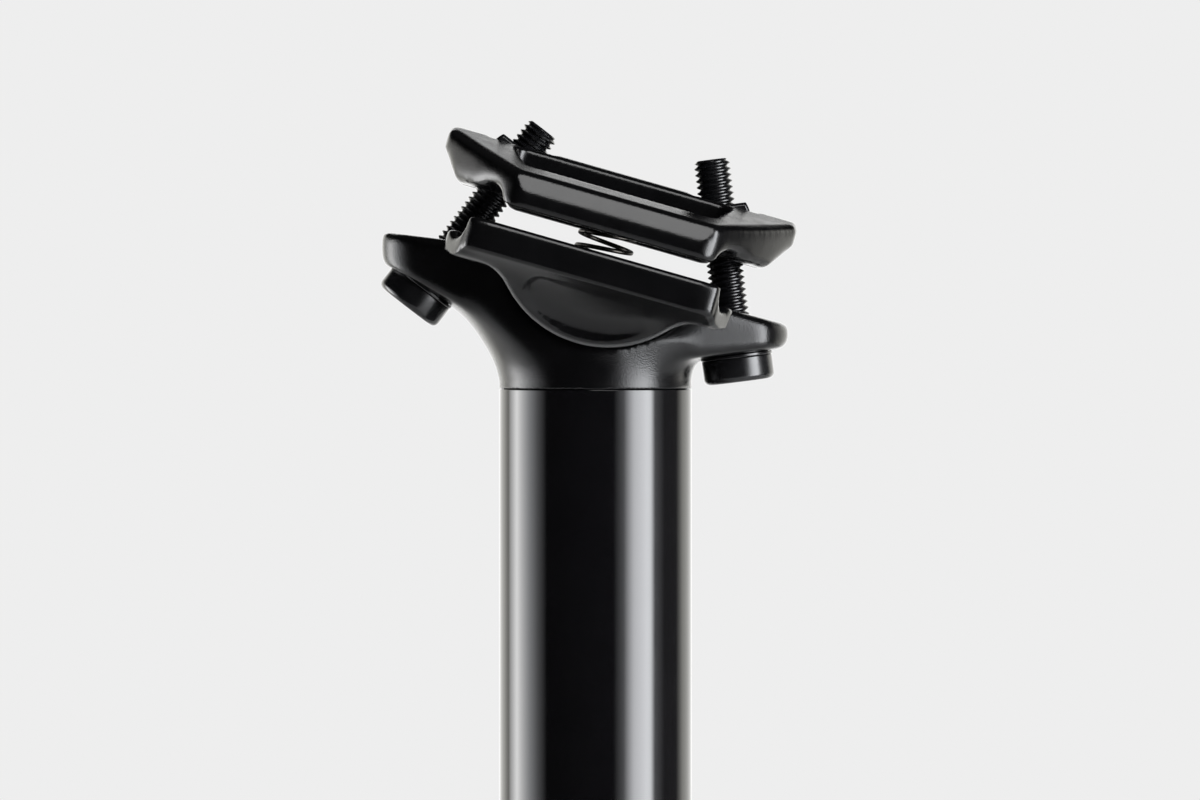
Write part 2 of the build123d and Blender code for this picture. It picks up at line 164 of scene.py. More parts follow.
@dataclass(frozen=True)
class Finish:
    """A dark metal finish with mottled gloss and a fine grain.

    Lengths are in metres. The mottle takes the colour from dark to light, which are shares of it.
    Points marked by the highlight attribute are painted lighter, towards the finish's highlight grey: a
    painted highlight where a rounded edge catches the light.
    """

    name: str
    slot: Slot
    colour: tuple[float, float, float]
    roughness: float
    spread: float
    mottle: float
    grain: float
    grain_depth: float
    wave: float = 5 * MM
    wave_depth: float = 0.0
    metallic: float = 0.0
    specular: float = 0.5
    # The grey of the painted highlight on marked points; none is painted at 0.
    painted_highlight: float = 0.0
    dark: float = 0.8
    light: float = 1.25
    mottle_detail: float = 4.0
    mottle_span: Span = (0.3, 0.7)
    relief_detail: float = 2.0

    def material(self) -> bpy.types.Material:
        """Makes the finish's material, or finds it if it is made already.

        Returns:
            The procedural material.
        """
        found = bpy.data.materials.get(self.name)
        if found is not None:
            return found
        material = bpy.data.materials.new(self.name)
        material.use_nodes = True
        tree = material.node_tree
        shader = tree.nodes["Principled BSDF"]
        shader.inputs["Metallic"].default_value = self.metallic
        shader.inputs["Specular IOR Level"].default_value = self.specular
        place = tree.nodes.new("ShaderNodeTexCoord").outputs["Object"]
        patches = self.noise(tree, place, self.mottle, self.mottle_detail)
        tree.links.new(self.gloss(tree, patches), shader.inputs["Roughness"])
        tree.links.new(self.tone(tree, patches), shader.inputs["Base Color"])
        tree.links.new(self.relief(tree, place), shader.inputs["Normal"])
        return material

    @staticmethod
    def noise(tree: Tree, place: Socket, length: float, detail: float) -> Socket:
        """Adds a noise pattern with patches of a length, and gives its output."""
        inputs = {"Vector": place, "Scale": 1 / length, "Detail": detail}
        return add_node(tree, "ShaderNodeTexNoise", inputs).outputs["Fac"]

    def gloss(self, tree: Tree, patches: Socket) -> Socket:
        """Varies the roughness over mottled patches.

        Args:
            tree: the material's nodes.
            patches: the mottled pattern.

        Returns:
            The roughness.
        """
        inputs = {
            "Value": patches,
            "From Min": self.mottle_span[0],
            "From Max": self.mottle_span[1],
            "To Min": self.roughness - self.spread,
            "To Max": self.roughness + self.spread,
        }
        return add_node(tree, "ShaderNodeMapRange", inputs).outputs["Result"]

    def tone(self, tree: Tree, patches: Socket) -> Socket:
        """Varies the colour over mottled patches, and paints a highlight on the marked points.

        Args:
            tree: the material's nodes.
            patches: the mottled pattern.

        Returns:
            The colour.
        """
        dark, light = ([share * part for part in self.colour] + [1] for share in (self.dark, self.light))
        inputs = {"Fac": patches, "Color1": dark, "Color2": light}
        colour = add_node(tree, "ShaderNodeMixRGB", inputs).outputs["Color"]
        # Painted highlight: the colour is mixed towards a light grey as far as the points are marked.
        if self.painted_highlight > 0:
            highlight_mark = tree.nodes.new("ShaderNodeAttribute")
            highlight_mark.attribute_name = HIGHLIGHT_ATTRIBUTE
            inputs = {"Fac": highlight_mark.outputs["Fac"], "Color1": colour, "Color2": grey(self.painted_highlight)}
            colour = add_node(tree, "ShaderNodeMixRGB", inputs).outputs["Color"]
        return colour

    def relief(self, tree: Tree, place: Socket) -> Socket:
        """Lays the fine grain over the long waves.

        Args:
            tree: the material's nodes.
            place: the coordinates that both follow.

        Returns:
            The surface's normal.
        """
        waves = {
            "Height": self.noise(tree, place, self.wave, self.relief_detail),
            "Strength": 1.0,
            "Distance": self.wave_depth,
        }
        grain = {
            "Height": self.noise(tree, place, self.grain, self.relief_detail),
            "Strength": 1.0,
            "Distance": self.grain_depth,
            "Normal": add_node(tree, "ShaderNodeBump", waves).outputs["Normal"],
        }
        return add_node(tree, "ShaderNodeBump", grain).outputs["Normal"]


GLOSS_TUBE = Finish(
    "gloss_black_tube",
    Slot.TUBE,
    (0.0018, 0.0017, 0.0021),
    roughness=0.09,
    spread=0.02,
    mottle=8 * MM,
    grain=0.9 * MM,
    grain_depth=0.0,
)
BLASTED = Finish(
    "blasted_black",
    Slot.FORGING,
    (0.0015, 0.0015, 0.0017),
    roughness=0.19,
    spread=0.03,
    mottle=5 * MM,
    grain=0.24 * MM,
    grain_depth=0.036 * MM,
    wave=7 * MM,
    wave_depth=0.03 * MM,
    specular=0.37,
)
# Satin black for the cradle and the clamp. Its highlight grey of 0.085 is a painted highlight on points
# marked by the highlight attribute; only the cradle marks any.
SATIN_PAINTED_RIM = Finish(
    "satin_black_painted_rim",
    Slot.FORGING,
    (0.0015, 0.0015, 0.0017),
    roughness=0.18,
    spread=0.03,
    mottle=4 * MM,
    grain=0.24 * MM,
    grain_depth=0.016 * MM,
    wave=6 * MM,
    wave_depth=0.05 * MM,
    specular=0.40,
    painted_highlight=0.085,
)
OXIDE = Finish(
    "black_oxide",
    Slot.FASTENER,
    (0.004, 0.004, 0.0045),
    roughness=0.20,
    spread=0.04,
    mottle=2 * MM,
    grain=0.3 * MM,
    grain_depth=0.004 * MM,
)
WIRE = Finish(
    "dark_wire",
    Slot.SPRING,
    (0.06, 0.055, 0.05),
    roughness=0.30,
    spread=0.06,
    mottle=1 * MM,
    grain=0.2 * MM,
    grain_depth=0.003 * MM,
    metallic=1.0,
)


@dataclass(frozen=True)
class Stop:
    """Light along the wall: where, how strong, how high, and its tint.

    The azimuth is in degrees from the camera, to the right; the height is in metres.
    """

    azimuth: float
    radiance: float
    top: float
    tint: Tint = Tint.NEUTRAL


SOFTBOXES = (
    Stop(-180, 1.7, 0.76),
    Stop(-140, 1.6, 0.76, Tint.WARM),
    Stop(-128, 1.0, 0.70, Tint.WARM),
    Stop(-117, 5.0, 0.60),
    Stop(-108, 9.8, 0.60),
    Stop(-86, 4.0, 0.60, Tint.COOL),
    Stop(-73, 1.4, 0.60, Tint.COOL),
    Stop(-61, 0.03, 0.60),
    Stop(22, 0.03, 0.60),
    Stop(34, 1.6, 0.92, Tint.COOL),
    Stop(47, 11.5, 0.92, Tint.COOL),
    Stop(64, 15.5, 0.92, Tint.COOL),
    Stop(69, 14.0, 0.92, Tint.COOL),
    Stop(75, 1.3, 0.92, Tint.COOL),
    Stop(90, 0.15, 0.60),
    Stop(113, 0.12, 0.70),
    Stop(128, 1.6, 0.76, Tint.WARM),
    Stop(180, 1.7, 0.76),
)


class Bench:
    """Modelling steps that the pieces share. Places and sizes are in metres, in the row frame."""

    @staticmethod
    def clear() -> None:
        """Deselects everything, the CAD nodes too."""
        bpy.ops.object.select_all(action="DESELECT")

    @staticmethod
    def pick(piece: Piece) -> None:
        """Makes a piece the only one selected, and the active one.

        Args:
            piece: the piece to work on.
        """
        Bench.clear()
        piece.select_set(True)
        bpy.context.view_layer.objects.active = piece

    @staticmethod
    def points(piece: Piece) -> Iterator[tuple[bpy.types.MeshVertex, Vector]]:
        """Each vertex of a piece, with its place in millimetres."""
        return ((vertex, vertex.co / MM) for vertex in piece.data.vertices)

    @staticmethod
    def weld(piece: Piece, reach: float = 1e-6) -> None:
        """Merges a piece's doubled points and turns its faces outwards.

        Args:
            piece: the piece to weld.
            reach: how far apart two points may lie and still be one.
        """
        Bench.pick(piece)
        bpy.ops.object.mode_set(mode="EDIT")
        bpy.ops.mesh.select_all(action="SELECT")
        bpy.ops.mesh.remove_doubles(threshold=reach)
        bpy.ops.mesh.normals_make_consistent(inside=False)
        bpy.ops.object.mode_set(mode="OBJECT")

    @staticmethod
    def modify(piece: Piece, kind: Mod, **settings: object) -> None:
        """Adds a modifier to a piece, and applies it.

        Args:
            piece: the piece to change.
            kind: the modifier.
            settings: the modifier's settings by name.
        """
        Bench.pick(piece)
        modifier = piece.modifiers.new(kind.value, kind.value)
        for key, value in settings.items():
            setattr(modifier, key, value)
        bpy.ops.object.modifier_apply(modifier=modifier.name)

    @staticmethod
    def copy_of(node: str, name: str) -> Piece:
        """Copies a CAD node's mesh into a new, welded piece.

        Args:
            node: the CAD node's name.
            name: the new piece's name.

        Returns:
            The new piece.
        """
        piece = bpy.data.objects.new(name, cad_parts[node].data.copy())
        bpy.context.scene.collection.objects.link(piece)
        piece.data.materials.clear()
        Bench.weld(piece)
        return piece

    @staticmethod
    def lathe(name: str, profile: Sequence[tuple[float, float]], place: Matrix, steps: int = 96) -> Piece:
        """Spins a closed outline about the upright axis of a place.

        Args:
            name: the new piece's name.
            profile: the outline's corners, each its radius and its height, in millimetres.
            place: where the axis stands.
            steps: the number of steps in the turn.

        Returns:
            The turned piece.
        """
        Bench.clear()
        bpy.ops.mesh.primitive_circle_add(vertices=len(profile), fill_type="NOTHING")
        piece = bpy.context.object
        piece.name = name
        for vertex, (radius, height) in zip(piece.data.vertices, profile):
            vertex.co = (radius * MM, 0, height * MM)
        bpy.ops.object.mode_set(mode="EDIT")
        bpy.ops.mesh.select_all(action="SELECT")
        bpy.ops.mesh.spin(steps=steps, angle=tau, center=(0, 0, 0), axis=(0, 0, 1))
        bpy.ops.object.mode_set(mode="OBJECT")
        Bench.weld(piece)
        piece.data.transform(place)
        return piece

    @staticmethod
    def cut(piece: Piece, tool: Piece) -> None:
        """Cuts a tool's shape out of a piece and throws the tool away."""
        Bench.modify(piece, Mod.BOOLEAN, operation="DIFFERENCE", object=tool, solver="EXACT")
        bpy.data.objects.remove(tool)

    @staticmethod
    def smooth(piece: Piece, angle: float = 30) -> None:
        """Shades a piece smooth, apart from edges sharper than an angle in degrees."""
        Bench.pick(piece)
        bpy.ops.object.shade_smooth_by_angle(angle=radians(angle))

    @staticmethod
    def soften(piece: Piece, weigh: Callable[[Vector], float], passes: int) -> None:
        """Smooths a piece further in some places.

        Args:
            piece: the mesh.
            weigh: how much a place in millimetres is smoothed, from 0 to 1.
            passes: the number of smoothing passes.
        """
        group = piece.vertex_groups.new(name="soft")
        for vertex, place in Bench.points(piece):
            weight = weigh(place)
            if weight > 0:
                group.add([vertex.index], weight, "REPLACE")
        Bench.modify(piece, Mod.SMOOTH, factor=SMOOTHING, iterations=passes, vertex_group=group.name)
        piece.vertex_groups.clear()

    @staticmethod
    def dress(piece: Piece, finish: Finish, body: Body, node: str) -> Piece:
        """Gives a piece its finish and its body, and lets it stand for its CAD node.

        Args:
            piece: the finished mesh.
            finish: what it is coated with.
            body: the CAD body that it rides on.
            node: the CAD node that it stands for.

        Returns:
            The same piece.
        """
        for mesh in (piece.data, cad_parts[node].data):
            mesh.materials.clear()
            mesh.materials.append(finish.material())
        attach(piece, body.value)
        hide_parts(node)
        log.info("%s: %d faces, for %s", piece.name, len(piece.data.polygons), node)
        return piece


@dataclass
class ClampAxes:
    """Where the saddle clamp stands. Lengths are in millimetres, angles in degrees."""

    forward: float = 2.0
    height: float = 350.0
    slope: float = 15.9
    nut_rise: float = 7.5

    def along(self) -> Vector:
        """The way the rails run, down towards the saddle's nose."""
        return Vector((cos(radians(self.slope)), 0, -sin(radians(self.slope))))

    def upward(self) -> Vector:
        """The clamp's own upright."""
        return Vector((sin(radians(self.slope)), 0, cos(radians(self.slope))))

    def point(self, along: float, up: float) -> Vector:
        """A point of the clamp's middle plane, in metres.

        Args:
            along: how far it lies ahead of the tilt axis.
            up: how far it lies above the tilt axis.

        Returns:
            The point in the row frame.
        """
        start = Vector((self.forward, 0, self.height))
        return (start + self.along() * along + self.upward() * up) * MM

    def local(self, place: Vector) -> tuple[float, float]:
        """How far a place in millimetres lies ahead of the tilt axis, and how far above it."""
        offset = place - self.point(0, 0) / MM
        return offset.dot(self.along()), offset.dot(self.upward())

    def upright(self, up: float) -> Matrix:
        """A place on the clamp's own upright, some way above the tilt axis."""
        turn = Matrix.Rotation(radians(self.slope), 4, "Y")
        return Matrix.Translation(self.point(0, up)) @ turn

    def bolt(self, end: End, offset: float, lean: float, along_bolt: float) -> Matrix:
        """A place on a bolt, its upright pointing up along the bolt.

        Args:
            end: the clamp's end.
            offset: the nut's distance from the tilt axis.
            lean: the bolt's lean against the clamp's upright.
            along_bolt: how far above the nut's centre the place is.

        Returns:
            The place in the row frame.
        """
        turn = Matrix.Rotation(radians(self.slope - end.value * lean), 4, "Y")
        nut = self.point(end.value * offset, self.nut_rise)
        return Matrix.Translation(nut) @ turn @ Matrix.Translation((0, 0, along_bolt * MM))


@dataclass
class PostTube:
    """The plain round tube. Lengths are in millimetres, angles in degrees.

    The lower chamfer's edge is eased: its corner is drawn in and down, and the wall starts a margin above it.
    """

    diameter: float = 31.6
    wall: float = 2.0
    height: float = 324.8
    end_chamfer: float = 0.7
    edge_margin: float = 0.15
    edge_in: float = 0.12
    edge_down: float = 0.1
    seam_chamfer: float = 0.15
    seam_arc: tuple[float, float] = (70, 10)
    seam_steps: int = 5
    steps: int = 256

    def build(self) -> Piece:
        """Turns the tube with its two chamfered ends.

        Returns:
            The tube.
        """
        outer, inner = self.diameter / 2, self.diameter / 2 - self.wall
        seam_centre = (outer - self.seam_chamfer, self.height - self.seam_chamfer)
        profile = [
            (inner, self.height),
            (outer - self.seam_chamfer, self.height),
            *arc(seam_centre, self.seam_chamfer, *self.seam_arc, self.seam_steps),
            (outer, self.height - self.seam_chamfer - self.edge_margin),
            (outer, self.end_chamfer + self.edge_margin),
            (outer - self.edge_in, self.end_chamfer - self.edge_down),
            (outer - self.end_chamfer, 0),
            (inner + self.end_chamfer, 0),
            (inner, self.end_chamfer),
        ]
        tube = Bench.lathe("tube_shell", profile, Matrix.Identity(4), self.steps)
        Bench.smooth(tube)
        return Bench.dress(tube, GLOSS_TUBE, Body.POST, "post_tube")


@dataclass
class Forging:
    """A piece made from its CAD solid, with every edge smoothed soft."""

    node: str
    name: str
    body: Body
    finish: Finish
    grid: float
    passes: int

    def build(self) -> Piece:
        """Remeshes the CAD solid finely and softens its edges.

        Returns:
            The softened piece.
        """
        piece = Bench.copy_of(self.node, self.name)
        self.carve(piece)
        Bench.modify(piece, Mod.REMESH, mode="VOXEL", voxel_size=self.grid * MM)
        Bench.modify(piece, Mod.SMOOTH, factor=SMOOTHING, iterations=self.passes)
        self.shape(piece)
        Bench.pick(piece)
        bpy.ops.object.shade_smooth()
        return Bench.dress(piece, self.finish, self.body, self.node)

    def carve(self, piece: Piece) -> None:
        """Cuts into the copied solid; a plain forging has nothing cut."""

    def shape(self, piece: Piece) -> None:
        """Shapes the softened piece further; a plain forging is left as it is."""


@dataclass
class HeadForging(Forging):
    """The head, whose neck flows into the two ears without an edge.

    Lengths are in millimetres. Spans named bed are measured out from the round bed's wall. Those named
    foot, rise, fall or fade are measured up from the seam, as side_height, side_top and round_start are.
    The neck's and the ears' spans at either end are measured from front and rear.
    """

    axes: ClampAxes
    bed_radius: float = 18.46
    neck_radius: float = 15.8
    seam: float = 324.8
    front: float = 15.5
    rear: float = -21.0
    neck_bed: Span = (0.6, 3.0)
    neck_foot: Span = (0.5, 2.0)
    neck_front: Span = (1.5, -1.5)
    neck_rear: Span = (-1.5, 1.5)
    neck_passes: int = 240
    ear_bed: Span = (0.6, 2.0)
    front_ear: Span = (-1.5, 2.5)
    rear_ear: Span = (4.0, 0.0)
    ear_passes: int = 75
    ear_spread: float = 0.044
    ear_side: Span = (2.0, 7.0)
    rear_flare: float = 1.0
    rear_bed: Span = (1.0, 4.0)
    rear_reach: Span = (-2.0, -13.0)
    rear_rise: Span = (0.6, 8.5)
    rear_fall: Span = (15.0, 9.0)
    side_flare: float = 0.95
    side_foot: float = 0.5
    side_height: float = 7.5
    side_top: float = 12.0
    side_return: float = 0.3
    side_reach: Span = (-4.0, 4.0)
    side_span: Span = (5.0, 8.0)
    round_depth: float = 0.9
    round_start: float = 0.1
    round_fade: Span = (1.8, 0.5)

    def outside_bed(self, place: Vector, span: Span) -> float:
        """How far a place has come out of the round bed, from 0 to 1."""
        from_axis = Vector((place.x - self.axes.forward, place.z - self.axes.height)).length
        return ease(from_axis, self.bed_radius, span)

    def neck(self, place: Vector) -> float:
        """How much a place belongs to the neck, short of the bed, the seam and the bolts' seats."""
        weight = self.outside_bed(place, self.neck_bed) * ease(place.z, self.seam, self.neck_foot)
        return weight * ease(place.x, self.front, self.neck_front) * ease(place.x, self.rear, self.neck_rear)

    def ears(self, place: Vector) -> float:
        """How much a place in millimetres belongs to one of the two ears, from 0 to 1."""
        out = max(ease(place.x, self.front, self.front_ear), ease(place.x, self.rear, self.rear_ear))
        return out * self.outside_bed(place, self.ear_bed)

    def flare_rear(self, piece: Piece) -> None:
        """Flares the rear of the neck.

        Args:
            piece: the softened head.
        """
        for vertex, place in Bench.points(piece):
            weight = self.outside_bed(place, self.rear_bed) * ramp(place.x, *self.rear_reach)
            weight *= ease(place.z, self.seam, self.rear_rise) * ease(place.z, self.seam, self.rear_fall)
            vertex.co.x -= self.rear_flare * weight * MM

    def spread_ear(self, piece: Piece) -> None:
        """Widens the front ear towards its tip.

        Args:
            piece: the softened head.
        """
        for vertex, place in Bench.points(piece):
            if place.x > self.front and self.outside_bed(place, self.ear_bed) > 0:
                side = copysign(ramp(abs(place.y), *self.ear_side), place.y)
                vertex.co.y += self.ear_spread * (place.x - self.front) * side * MM

    def flare_sides(self, piece: Piece) -> None:
        """Flares the front half of the neck to both sides, and less at its top.

        Args:
            piece: the softened head.
        """
        for vertex, place in Bench.points(piece):
            rise = portion(place.z - self.seam, self.side_foot, self.side_foot + self.side_height)
            rise -= self.side_return * ease(place.z, self.seam, (self.side_height, self.side_top))
            side = copysign(ramp(abs(place.y), *self.side_span), place.y)
            vertex.co.y += self.side_flare * rise * rise * ramp(place.x, *self.side_reach) * side * MM

    def round_foot(self, piece: Piece) -> None:
        """Makes the neck's lower end round again, flush with the tube.

        Args:
            piece: the softened head.
        """
        for vertex, place in Bench.points(piece):
            radius = Vector((place.x, place.y)).length
            if radius > self.neck_radius - self.round_depth and place.z > self.seam + self.round_start:
                weight = ease(place.z, self.seam, self.round_fade)
                stretch = 1 + weight * (self.neck_radius / radius - 1)
                vertex.co.x *= stretch
                vertex.co.y *= stretch

    def shape(self, piece: Piece) -> None:
        """Flares the neck, spreads the front ear, softens both and trues the neck's lower end.

        Args:
            piece: the softened head.
        """
        self.flare_rear(piece)
        self.spread_ear(piece)
        Bench.soften(piece, self.neck, self.neck_passes)
        self.flare_sides(piece)
        Bench.soften(piece, self.ears, self.ear_passes)
        self.round_foot(piece)


@dataclass
class CradleForging(Forging):
    """The lower cradle, with softly hollowed half-moon sides and rounded trough ends.

    Lengths are in millimetres. Drops are measured down from the tilt axis, and soft_end and wall_reach
    along from the troughs' middle.
    """

    axes: ClampAxes
    radius: float = 18.4
    shift: float = -1.1
    soft_drop: Span = (8.4, 10.0)
    soft_side: Span = (14.5, 16.0)
    soft_end: Span = (17.5, 20.5)
    hollow: float = 0.9
    hollow_inset: Span = (1.2, 5.2)
    hollow_drop: Span = (9.6, 15.6)
    flare_along: float = 19.5
    flare_drop: float = 17.8
    flare_radius: float = 8.0
    flare_start: float = 12.4
    wall_round: float = 0.65
    wall_reach: Span = (16.8, 21.5)
    wall_side: Span = (25.2, 26.4)
    rim_width: Span = (0.7, 0.2)
    rim_lean: Span = (0.05, 0.25)
    rim_drop: Span = (9.6, 10.6)
    soft_passes: int = 30

    def local(self, place: Vector) -> tuple[float, float]:
        """How far a place in millimetres lies ahead of the tilt axis, and how far below it."""
        along, up = self.axes.local(place)
        return along, -up

    def soft(self, place: Vector) -> float:
        """Weighs the half-moon's sides and the ends of the troughs.

        Args:
            place: the place, in millimetres.

        Returns:
            How much the place belongs to them, from 0 to 1.
        """
        along, drop = self.local(place)
        side = ramp(drop, *self.soft_drop) * ramp(abs(place.y), *self.soft_side)
        return max(side, ramp(abs(along - self.shift), *self.soft_end))

    def inset(self, along: float, drop: float) -> float:
        """Measures inwards from the half-moon's outline, which flares at its top.

        Args:
            along: how far the point lies ahead of the tilt axis.
            drop: how far it lies below the tilt axis.

        Returns:
            How far the point of the side view lies inside the outline.
        """
        if drop > self.flare_start:
            return self.radius - Vector((along, drop)).length
        return Vector((abs(along) - self.flare_along, drop - self.flare_drop)).length - self.flare_radius

    def round_walls(self, piece: Piece) -> None:
        """Rounds the troughs' outer walls inwards at their ends.

        Args:
            piece: the softened cradle.
        """
        for vertex, place in Bench.points(piece):
            along, _ = self.local(place)
            outer = ramp(abs(place.y), *self.wall_side)
            drawn = self.wall_round * outer * portion(abs(along - self.shift), *self.wall_reach) ** 2
            vertex.co.y -= copysign(drawn, place.y) * MM

    def hollow_sides(self, piece: Piece) -> None:
        """Hollows the half-moon's sides inside a border.

        Args:
            piece: the softened cradle.
        """
        for vertex, place in Bench.points(piece):
            along, drop = self.local(place)
            if abs(place.y) < self.soft_side[0]:
                continue
            depth = ramp(self.radius - Vector((along, drop)).length, *self.hollow_inset)
            depth *= self.hollow * ramp(drop, *self.hollow_drop)
            vertex.co.y -= copysign(depth, place.y) * MM

    def paint_rim_highlights(self, piece: Piece) -> None:
        """Paints a highlight along the half-moon's rims, where their rounded edges catch the light.

        Args:
            piece: the softened cradle.
        """
        painted_highlight = piece.data.attributes.new(HIGHLIGHT_ATTRIBUTE, "FLOAT", "POINT")
        for (vertex, place), mark in zip(Bench.points(piece), painted_highlight.data):
            along, drop = self.local(place)
            # Painted highlight: a strip just inside the outline, on points whose normals lean to the side and
            # that lie low enough below the tilt axis.
            rim = ramp(self.inset(along, drop), *self.rim_width) * ramp(abs(vertex.normal.y), *self.rim_lean)
            rim *= ramp(drop, *self.rim_drop)
            mark.value = rim if abs(place.y) > self.soft_side[0] else 0.0

    def shape(self, piece: Piece) -> None:
        """Rounds the troughs' ends, hollows and softens the sides and paints a highlight along their rims.

        Args:
            piece: the softened cradle.
        """
        self.round_walls(piece)
        self.hollow_sides(piece)
        Bench.soften(piece, self.soft, self.soft_passes)
        self.paint_rim_highlights(piece)


@dataclass
class ClampForging(Forging):
    """The upper clamp, with gently swollen end faces and arches that roll over at their ends.

    Lengths are in millimetres. A pair that isn't a span is a place: how far along and how far aside it lies.
    """

    axes: ClampAxes
    arch_radius: float = 3.6
    arch_sides: int = 64
    arch_rise: float = -0.95
    arch_start: tuple[float, float] = (8.0, 22.0)
    arch_end: tuple[float, float] = (26.0, 24.4)
    rim_reach: Span = (17.0, 20.0)
    rim_side: Span = (12.0, 15.0)
    rim_height: Span = (6.5, 3.5)
    rim_passes: int = 60
    corner: tuple[float, float] = (16.8, 29.0)
    tip: tuple[float, float] = (29.6, 7.5)
    swell: float = 0.55
    swell_skin: Span = (-2.4, -0.5)
    undercut: float = 0.028
    undercut_top: float = 3.6
    undercut_start: float = 0.2
    face_skin: Span = (-1.8, -0.4)
    face_margin: float = 0.08
    face_passes: int = 48

    def carve(self, piece: Piece) -> None:
        """Cuts each arch wider towards its end.

        Args:
            piece: the copied solid.
        """
        for end in End:
            for side in (-1, 1):
                start = self.axes.point(end.value * self.arch_start[0], self.arch_rise)
                finish = self.axes.point(end.value * self.arch_end[0], self.arch_rise)
                start.y, finish.y = side * self.arch_start[1] * MM, side * self.arch_end[1] * MM
                Bench.clear()
                bpy.ops.mesh.primitive_cylinder_add(
                    vertices=self.arch_sides, radius=self.arch_radius * MM, depth=(finish - start).length
                )
                tool = bpy.context.object
                turn = (finish - start).to_track_quat("Z", "Y").to_matrix().to_4x4()
                tool.matrix_world = Matrix.Translation((start + finish) / 2) @ turn
                Bench.cut(piece, tool)

    def arch_ends(self, place: Vector) -> float:
        """Weighs the lower rims at the clamp's ends.

        Args:
            place: the place, in millimetres.

        Returns:
            How much the place belongs to them, from 0 to 1.
        """
        along, up = self.axes.local(place)
        weight = ramp(abs(along), *self.rim_reach) * ramp(abs(place.y), *self.rim_side)
        return weight * ramp(up, *self.rim_height)

    def run(self) -> Vector:
        """The way along an end face, from its corner to its tip, as seen from above."""
        return Vector(self.tip) - Vector(self.corner)

    def end_face(self, place: Vector) -> tuple[float, float, float]:
        """Where a place lies on the slanted end face of its quarter of the clamp.

        Args:
            place: the place, in millimetres.

        Returns:
            Its share of the way from the corner to the tip, its distance out of the face, and its height.
        """
        along, up = self.axes.local(place)
        run = self.run()
        spot = Vector((abs(along), abs(place.y))) - Vector(self.corner)
        outward = Vector((-run.y, run.x)).normalized()
        return spot.dot(run) / run.length_squared, spot.dot(outward), up

    def near_face(self, place: Vector) -> float:
        """How much a place in millimetres belongs to an end face, from 0 to 1."""
        share, out, _ = self.end_face(place)
        return ramp(out, *self.face_skin) * ramp(min(share, 1 - share), 0.0, self.face_margin)

    def bulge(self, piece: Piece) -> None:
        """Swells the end faces along their length, and draws their feet in.

        Args:
            piece: the softened clamp.
        """
        run = self.run()
        for vertex, place in Bench.points(piece):
            share, out, height = self.end_face(place)
            weight = ramp(out, *self.swell_skin)
            if weight == 0 or not 0 < share < 1:
                continue
            # A parabola that reaches the full swell halfway along.
            push = 4 * self.swell * share * (1 - share)
            foot = self.undercut * max(0.0, self.undercut_top - height) ** 2
            push -= foot * ramp(share, 0.0, self.undercut_start)
            ahead = copysign(1, self.axes.local(place)[0])
            outward = self.axes.along() * (-run.y * ahead) + Vector((0, copysign(run.x, place.y), 0))
            vertex.co += outward.normalized() * (push * weight * MM)

    def shape(self, piece: Piece) -> None:
        """Swells and evens the end faces, and rolls the rims over where the arches come out.

        Args:
            piece: the softened clamp.
        """
        self.bulge(piece)
        Bench.soften(piece, self.near_face, self.face_passes)
        Bench.soften(piece, self.arch_ends, self.rim_passes)


